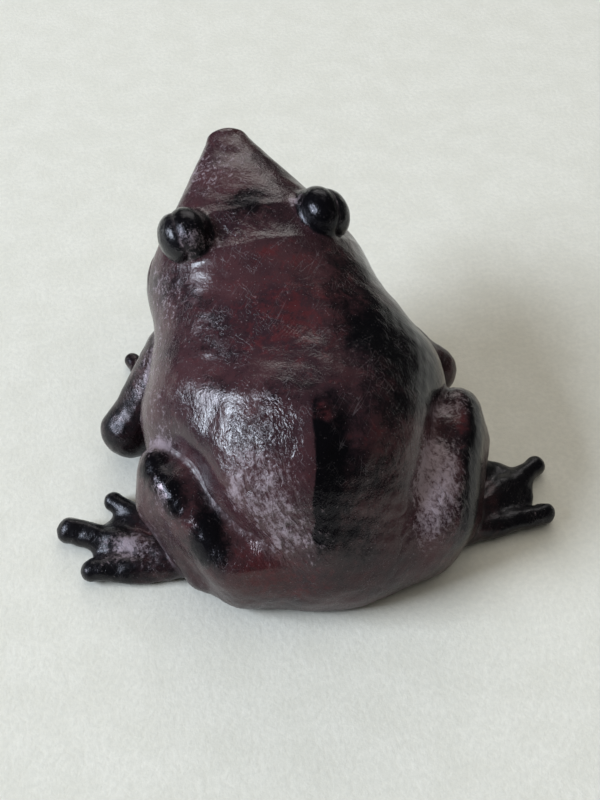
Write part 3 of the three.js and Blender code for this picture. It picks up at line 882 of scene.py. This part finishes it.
def grids(distance, spines, side, shift):
    """One cast grid for each spine of a left limb, shifted and mirrored for its side."""
    fold = np.array([side, 1, 1])
    return [
        cast(distance, (shift + start) * fold, (shift + end) * fold, rings, points, 25)
        for start, end, rings, points in spines
    ]


def digit_spines(root, digits, tip_height):
    """A spine for each digit, from just past its root to the middle of its pad."""
    spines = []
    for length, heading, _ in digits:
        tip = np.array([root[0], root[1], tip_height]) + outward(heading) * length
        spines.append((root + outward(heading) * 0.2, tip, 72, 28))
    return spines


def make_limb(name, node, form, host, spines, side, shift, voxel, height, slot, darkness, spread=0):
    """Casts, fuses, chases and paints one limb. darkness(p) adds to how dark a vertex is."""
    surface = soldered(form, host, spread)
    limb = fuse(name, grids(surface, spines, side, shift), voxel, surface)
    chase(limb, surface, height)
    p = points_of(limb)
    lay_patina(limb, bump(np.maximum(host(p), 0), SEAM_WIDTH) * (1 - merging(p)), darkness(p))
    finish_piece(limb, node, slot=slot)


def limb_height(p):
    """Thumb and rasp marks on a limb."""
    height = ripples(p, (0.12, 8, 11), (0.05, 2.6, 12)) + marked(p, ROUGH) * ripples(p, (0.07, 1.5, 13))
    return height * rise(p[:, 2], SOLE, 1)


def foot_height(p):
    """The feet are smaller work, and left knobblier."""
    return ripples(p, (0.15, 4.5, 21), (0.03, 2.0, 22)) * rise(p[:, 2], SOLE, 0.8)


def foot_darkness(p):
    """The feet are dark, and darker still out towards the toes."""
    out = np.linalg.norm(p[:, :2] - BETWEEN_ANKLES, axis=-1)
    return np.clip((out - 38) / 8, 0, 0.8) + 0.35


LEG_SPINES = [
    ((20, 11.5, 11), (29, 23.2, 19.6), 64, 56),
    ((19, 11, 14.5), (25, 19, 19.2), 56, 56),
    ((29, 21, 14.4), (24.6, 13, 5.8), 40, 40),
]
ARM_SPINES = [((23, 51.5, 19), (33.4, 47.6, 9), 48, 40), ((33.5, 47.8, 8.0), (26.4, 61, 4.2), 56, 36)]
FOOT_MIDDLE = ((30, 19, 1.6), (37, 23, 1.6), 48, 64)
LIMB_VOXEL = 0.36
FOOT_VOXEL = 0.27

for name, side in SIDES.items():
    make_limb(
        f"hind_leg_skin_{name}", f"hind_leg_{name}", lambda p: hind_leg(p, side), body,
        LEG_SPINES, side, (KNEE_SHIFT[side] + HIP_SHIFT[side]) / 2, LIMB_VOXEL, limb_height,
        "patina", lambda p: 0.1 * (1 - merging(p)), MERGE,
    )
    make_limb(
        f"foreleg_skin_{name}", f"foreleg_{name}", lambda p: foreleg(p, side), body,
        ARM_SPINES + digit_spines(WRIST, FINGERS, 2.0), side, ARM_SHIFT[side], LIMB_VOXEL, limb_height,
        "patina", lambda p: 0.45,
    )
    make_limb(
        f"hind_foot_skin_{name}", f"hind_foot_{name}", lambda p: hind_foot(p, side),
        lambda p: np.minimum(body(p), hind_leg(p, side)),
        [*digit_spines(ANKLE, HIND_TOES[side], 2.3), FOOT_MIDDLE], side, FOOT_SHIFT[side], FOOT_VOXEL,
        foot_height, "dark_patina", foot_darkness,
    )

# %% [markdown]
# ## Eyes
# The eyeballs are long drops against the outside of the lids, and the smoothest, blackest part.

# %% Eyeballs
EYE_SPINE = ((15.9, 61.4, 46.9), (15.9, 63.8, 46.9))

for name, side in SIDES.items():
    def eye_form(p):
        """One eyeball on this side."""
        return eyeballs(p * np.array([side, 1, 1]))

    shell = cast(eye_form, *(np.array(EYE_SPINE) * (side, 1, 1)), 90, 90, 12)
    eye = mesh_object(f"eyeball_{name}", to_row(shell[0]), shell[1])
    chase(eye, eye_form, lambda p: 0.04 * ripple(p, 2.2, 41))
    lay_patina(eye, bump(np.maximum(body(points_of(eye)), 0), 0.4), 0.8)
    finish_piece(eye, f"eye_{name}", slot="dark_patina")

# %% [markdown]
# ## Felt
# The pad under the base is a thin oval of wool felt, glued to the plate. It is a grid of rings
# with a soft rounded edge, and its face is lumpy at the scale of the wool's clumps.

# %% Felt pad
felt_half = (pad_high - pad_low)[:2] / 2
felt_top = pad_high[2]
FELT_EDGE, FELT_LUMP = 0.5, 0.03


def felt_disc(rings=90, points=360):
    """A closed disc, with both faces in rings. Their last FELT_EDGE rounds over to the half
    height, and they sink in lumps by up to twice FELT_LUMP."""
    share = np.linspace(0, 1, rings + 1)[1:] ** 0.8
    share, turn = (grid.ravel() for grid in np.meshgrid(share, turns(points), indexing="ij"))
    flat = np.column_stack([felt_half[0] * share * np.cos(turn), felt_half[1] * share * np.sin(turn)])
    flat = np.vstack([[0, 0], flat])
    inset = np.append(1, 1 - share) * felt_half.min()
    half = felt_top / 2 * np.sqrt(np.clip(1 - np.clip(1 - inset / FELT_EDGE, 0, 1) ** 2, 0, 1))
    lumps = FELT_LUMP * (1 + ripple(np.column_stack([flat, 0 * flat[:, 0]]), 1.1, 51).clip(-1, 1))
    half = np.maximum(half - lumps * (inset > 0), 0)
    top = np.column_stack([flat, felt_top / 2 + half])
    bottom = np.column_stack([flat, felt_top / 2 - half])
    rim = 1 + (rings - 1) * points
    top_count = len(top)
    fan, band = disc(rings, points)
    below = np.arange(top_count) + top_count
    below[rim:] = np.arange(rim, top_count)
    faces = [*fan.tolist(), *band.tolist()]
    faces += [*below[fan[:, ::-1]].tolist(), *below[band[:, ::-1]].tolist()]
    return mesh_object("felt_disc", np.vstack([top, bottom[:rim]]), faces)


pad = felt_disc()
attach(pad, "root")
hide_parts("felt_pad")
pad_size = tuple(2 * felt_half * MM)
pad_area = math.pi / 4 * pad_size[0] * pad_size[1]
print("felt", [round(float(v) / MM, 2) for v in pad_size], "mm")

# %% [markdown]
# ## Shader maths
# A finish is a sum of noises, masks and thresholds, and it reads best as arithmetic. So a socket
# is wrapped in a class whose operators each add one Math node. A second class holds one material
# and has a single method for every other kind of node.

# %% Sockets as numbers


def feed(target, value):
    """Fills a socket: a wire is linked to it, and anything else becomes its value."""
    if isinstance(value, Wire):
        target.id_data.links.new(value.socket, target)
    else:
        target.default_value = value


class Wire:
    """A shader socket that can be used in sums. Each operator adds one Math node."""

    def __init__(self, socket):
        self.socket = socket

    def math(self, operation, first, second=0.0):
        """The result of one Math node in this wire's tree."""
        node = self.socket.id_data.nodes.new("ShaderNodeMath")
        node.operation = operation
        feed(node.inputs[0], first)
        feed(node.inputs[1], second)
        return Wire(node.outputs[0])

    def __abs__(self):
        return self.math("ABSOLUTE", self)


for sign, operation in {"add": "ADD", "sub": "SUBTRACT", "mul": "MULTIPLY"}.items():
    setattr(Wire, f"__{sign}__", lambda self, other, kind=operation: self.math(kind, self, other))
    setattr(Wire, f"__r{sign}__", lambda self, other, kind=operation: self.math(kind, other, self))


def colour(red, green, blue):
    """A display colour of 0 to 255 as linear light, with full alpha."""
    share = np.array([red, green, blue]) / 255
    linear = np.where(share > 0.04045, ((share + 0.055) / 1.055) ** 2.4, share / 12.92)
    return (*linear.tolist(), 1.0)


class Finish:
    """One material. Its place is the Object coordinate in millimetres."""

    def __init__(self, name):
        self.material = bpy.data.materials.new(name)
        self.material.use_nodes = True
        self.tree = self.material.node_tree
        self.shader = self.tree.nodes["Principled BSDF"]
        where = self.node("TexCoord", output="Object")
        self.place = self.node("VectorMath", {"Vector": where, "Scale": 1 / MM}, operation="SCALE")

    def node(self, kind, inputs=None, output=0, **settings):
        """Adds one node: its settings first, then its inputs. Returns one output."""
        node = self.tree.nodes.new("ShaderNode" + kind)
        for name, value in settings.items():
            setattr(node, name, value)
        for key, value in (inputs or {}).items():
            feed(node.inputs[key], value)
        return Wire(node.outputs[output])

    def noise(self, size, detail=3.0, roughness=0.55, where=None, distortion=0.0):
        """Fractal noise, 0 to 1 about a half, with features about size millimetres across."""
        return self.node("TexNoise", {
            "Vector": where or self.place,
            "Scale": 1 / size,
            "Detail": detail,
            "Roughness": roughness,
            "Distortion": distortion,
        })

    def ramp(self, value, low, high, start=0.0, end=1.0):
        """start where value is below low, end where it is above high, and smooth between."""
        return self.node("MapRange", {
            "Value": value, "From Min": low, "From Max": high, "To Min": start, "To Max": end,
        }, interpolation_type="SMOOTHSTEP")

    def mix(self, factor, first, second):
        """One colour laid over another by factor."""
        sockets = {0: factor, 6: first, 7: second}
        return self.node("Mix", sockets, output=2, data_type="RGBA")

    def amount(self, name):
        """A number kept at the vertices."""
        return self.node("Attribute", output="Fac", attribute_name=name)

    def stretched(self, rotation, sizes):
        """The place turned and divided by a size along each axis, for directed grain."""
        return self.node(
            "Mapping", {"Vector": self.place, "Rotation": rotation, "Scale": sizes}, vector_type="TEXTURE"
        )

    def scratches(self, rotation, spacing, length, width):
        """Hairlines along one direction, where stretched noise is within width of a half, in
        patches of a coarser noise."""
        lines = self.noise(1.0, 0.0, where=self.stretched(rotation, (length, spacing, spacing)))
        patches = self.ramp(self.noise(5, 1.0), 0.46, 0.6)
        return self.ramp(abs(lines - 0.5), 0.0, width, 1.0, 0.0) * patches

    def bumped(self, height):
        """Turns a height in millimetres into the shader's normal."""
        self.set("Normal", self.node("Bump", {"Height": height, "Distance": MM, "Strength": 1.0}))

    def set(self, name, value):
        """Fills one input of the surface shader."""
        feed(self.shader.inputs[name], value)

    def paint(self, *pieces_to_paint):
        """Puts the material in every slot of these pieces. A new mesh has none and gets one."""
        for piece in pieces_to_paint:
            if not piece.material_slots:
                piece.data.materials.append(None)
            for slot in piece.material_slots:
                slot.material = self.material


# %% [markdown]
# ## Patina
# The bronze has a red-brown first coat, a black second coat that has worn unevenly, and a film of
# wax that holds grey dust. The black goes on where its patch and three noises add up past a
# threshold, which gives ragged, speckled edges; where those patches are painted shade, the black is
# painted shade too. Dust settles in the creases, and cakes where it is thickest. The pale film and
# the caked dust also carry painted sheen and painted highlights, and pale dots are painted glints.
# The wax makes it glossy, and the fine bump breaks the window's reflection into flakes. Low down
# the coat is duller and more metallic.

# %% Patina material


def patina(name, blackness, metal, roughness):
    """The bronze's finish. blackness adds to how much of the black coat is left, and metal is
    how metallic that coat is."""
    coat = Finish(name)
    dark, warm, dust_and_sheen, rough, crease = (
        coat.amount(key) for key in ("dark", "warm", "dust_and_sheen", "rough", "crease")
    )
    broad = coat.noise(13, 3, 0.6)
    mottle = coat.noise(2.6, 5, 0.68, distortion=0.5)
    flecks = coat.noise(0.8, 3, 0.7)
    grain = coat.noise(0.3, 2, 0.6)
    brown = coat.mix(coat.ramp(broad, 0.35, 0.65), colour(68, 42, 46), colour(46, 29, 35))
    redness = coat.ramp(warm * 0.45 + (mottle - 0.5) * 1.5 + (flecks - 0.5) * 0.8, 0.08, 0.66)
    base = coat.mix(redness * 0.75, brown, colour(86, 34, 38))
    # The black coat. Where the dark amount holds painted shade, in the left haunch's hollow and beside the
    # keel, this black is painted shade.
    black = coat.ramp(
        dark * 0.8 - warm * 0.4 + (mottle - 0.5) * -0.8 + (broad - 0.5) * 0.6 + (flecks - 0.5) * 0.5
        + blackness,
        0.04, 0.6,
    )
    base = coat.mix(black * 0.97, base, colour(16, 16, 22))
    speck = coat.ramp(coat.noise(0.55, 2, 0.5), 0.62, 0.7)
    base = coat.mix(speck * 0.35, base, colour(16, 12, 16))
    # A pale film of dust and wax; where its patches are painted light it is painted sheen.
    film_and_sheen = coat.ramp(dust_and_sheen * 0.6 + crease * 0.3 + (flecks - 0.5) * 0.8 + (mottle - 0.5) * 0.6, 0.16, 0.85)
    base = coat.mix(film_and_sheen * 0.4, base, colour(136, 116, 122))
    flow = coat.stretched((-0.8, 0, 0.35), (1.1, 3.0, 1.1))
    crinkle = coat.noise(1.0, 3, 0.6, where=flow, distortion=0.8)
    # Caked dust, pale on the raised ridges of the crinkle. On the left rump, the right haunch and the thigh
    # crest it is also a painted highlight of the window.
    caked_dust_and_highlight = coat.ramp(
        dust_and_sheen + crease * 0.25 + (crinkle - 0.5) * 2.2 + (flecks - 0.5) * 1.5 + (grain - 0.5) * 0.7, 0.4, 1.25
    )
    base = coat.mix(caked_dust_and_highlight * 0.8, base, colour(160, 145, 152))
    # Painted glints: pale dots laid into the colour as tiny highlights.
    painted_glints = coat.ramp(coat.noise(0.36, 1.0, 0.5), 0.71, 0.77)
    base = coat.mix(painted_glints * 0.4, base, colour(160, 150, 152))
    lines = coat.scratches((0.3, 0.2, 0.9), 1.1, 14, 0.012)
    more_lines = coat.scratches((0.1, 0.5, 2.2), 0.9, 11, 0.012)
    worn = coat.mix((lines + more_lines) * 0.22, base, colour(150, 140, 146))
    coat.set("Base Color", worn)
    up = coat.node("SeparateXYZ", {"Vector": coat.place}, output="Z")
    low = coat.ramp(up, 12, 27, 1.0, 0.0)
    coat.set("Metallic", black.math("MAXIMUM", black * metal, low * 0.5))
    coat.set(
        "Roughness",
        roughness + low * 0.14 + crease * 0.2 + film_and_sheen * 0.2 + caked_dust_and_highlight * 0.3
        + (grain - 0.5) * 0.2 + (flecks - 0.5) * 0.2,
    )
    coat.set("IOR", 1.55)
    height = (
        (crinkle - 0.5) * (0.07 + rough * 0.65)
        + (flecks - 0.5) * 0.07
        + (grain - 0.5) * 0.03
        - (lines + more_lines) * 0.012
    )
    coat.bumped(height)
    return coat


patina("patina", 0.0, 0.65, 0.16).paint(*pieces["patina"])
patina("dark_patina", 0.12, 0.35, 0.17).paint(*pieces["dark_patina"])

# %% [markdown]
# ## Base metal and felt
# The plate is rolled brass, dulled in patches. The screws are plain steel with turned rings on
# their heads. The felt is dark wool: short fibres that cross, matt and slightly fuzzy.

# %% Plate, screws and felt
brass = Finish("plate")
rolled = brass.noise(1.0, 2.0, where=brass.stretched((0, 0, 0.4), (9, 0.16, 1)))
tarnish = brass.ramp(brass.noise(5, 5, 0.65), 0.4, 0.62)
brass.set("Base Color", brass.mix(tarnish, colour(176, 138, 78), colour(104, 74, 42)))
brass.set("Metallic", 1.0)
brass.set("Roughness", 0.32 + tarnish * 0.25 + (rolled - 0.5) * 0.3)
brass.bumped((rolled - 0.5) * 0.02 + (brass.noise(0.8) - 0.5) * 0.01)
brass.paint(frame["nodes"]["base_plate"])

for index in range(1, 5):
    node = frame["nodes"][f"base_screw_{index}"]
    low, high = (np.array(corner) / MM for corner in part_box(node.name))
    middle = (low + high) / 2
    steel = Finish(f"screw_{index}")
    offset = steel.node("VectorMath", {0: steel.place, 1: (*middle[:2], 0)}, operation="SUBTRACT")
    flat_offset = steel.node("VectorMath", {0: offset, 1: (1, 1, 0)}, operation="MULTIPLY")
    radius = steel.node("VectorMath", {0: flat_offset}, output="Value", operation="LENGTH")
    turned = radius.math("SINE", radius * 42)
    rust = steel.ramp(steel.noise(0.7, 4, 0.7), 0.52, 0.66)
    steel.set("Base Color", steel.mix(rust, colour(150, 150, 152), colour(96, 70, 54)))
    steel.set("Metallic", 1 - rust * 0.7)
    steel.set("Roughness", 0.3 + rust * 0.35 + (steel.noise(0.2) - 0.5) * 0.2)
    steel.bumped(turned * 0.004 + (steel.noise(0.3) - 0.5) * 0.02)
    steel.paint(node)

wool = Finish("felt")
fibre = wool.noise(1.0, 2.0, where=wool.stretched((0, 0, 0.5), (1.4, 0.12, 0.2)), distortion=0.6)
cross = wool.noise(1.0, 2.0, where=wool.stretched((0, 0, 2.1), (1.2, 0.12, 0.2)), distortion=0.6)
fuzz = wool.ramp(fibre * 0.5 + cross * 0.5, 0.38, 0.62)
wool.set("Base Color", wool.mix(fuzz, colour(26, 36, 30), colour(58, 70, 60)))
wool.set("Roughness", 1.0)
wool.set("Sheen Weight", 0.6)
wool.bumped((fibre + cross) * 0.12)
wool.paint(pad)

# %% [markdown]
# ## Floor
# The frog sits on warm white board. One noise clouds its tint, and one is the surface's tooth.

# %% Floor
STAGE_SIZE = 3000
floor = mesh_object(
    "floor",
    np.array([[-1, -1, 0], [1, -1, 0], [1, 1, 0], [-1, 1, 0]]) * STAGE_SIZE / 2,
    [[0, 1, 2, 3]],
)
board = Finish("board")
clouds = board.noise(9, 5, 0.6)
tooth = board.noise(1.1, 4, 0.6)
tint = board.mix(board.ramp(clouds, 0.35, 0.65), colour(228, 226, 214), colour(234, 232, 221))
board.set("Base Color", board.mix(board.ramp(tooth, 0.3, 0.7) * 0.5, tint, colour(216, 215, 205)))
board.set("Roughness", 0.85)
board.bumped((tooth - 0.5) * 0.12 + (clouds - 0.5) * 0.1)
board.paint(floor)

# %% [markdown]
# ## Light
# A cool window to the frog's left is the main light, with a soft shadow to the right. A weak,
# warm wall stands ahead of the frog, and a wide ceiling fills the shadow. The ceiling is kept out
# of reflections, where it would veil the dark patina. The room adds a little even light.

# %% Window and room


def softbox(name, azimuth, elevation, distance, width, height, power, tint, glossy=True):
    """A rectangular light that faces the frog. Without glossy it isn't mirrored in anything."""
    out = Vector(direction(azimuth, elevation))
    data = bpy.data.lights.new(name, "AREA")
    data.shape = "RECTANGLE"
    data.size, data.size_y = width, height
    data.energy = power
    data.color = tint
    light = bpy.data.objects.new(name, data)
    light.location = out * distance
    light.rotation_mode = "QUATERNION"
    light.rotation_quaternion = out.to_track_quat("Z", "Y")
    light.visible_glossy = glossy
    bpy.context.collection.objects.link(light)


softbox("window", 88, 34, 2.4, 1.15, 0.75, 66, (0.78, 0.87, 1.0))
softbox("far_wall", -12, 33, 2.4, 1.5, 0.8, 9, (1.0, 0.97, 0.93))
softbox("ceiling", -60, 78, 2.2, 3.0, 3.0, 24, (1.0, 0.96, 0.88), glossy=False)
world = bpy.data.worlds.new("room")
bpy.context.scene.world = world
world.use_nodes = True
room = world.node_tree.nodes["Background"]
room.inputs["Color"].default_value = colour(250, 250, 247)
room.inputs["Strength"].default_value = 0.07
bpy.context.scene.view_settings.view_transform = "Standard"
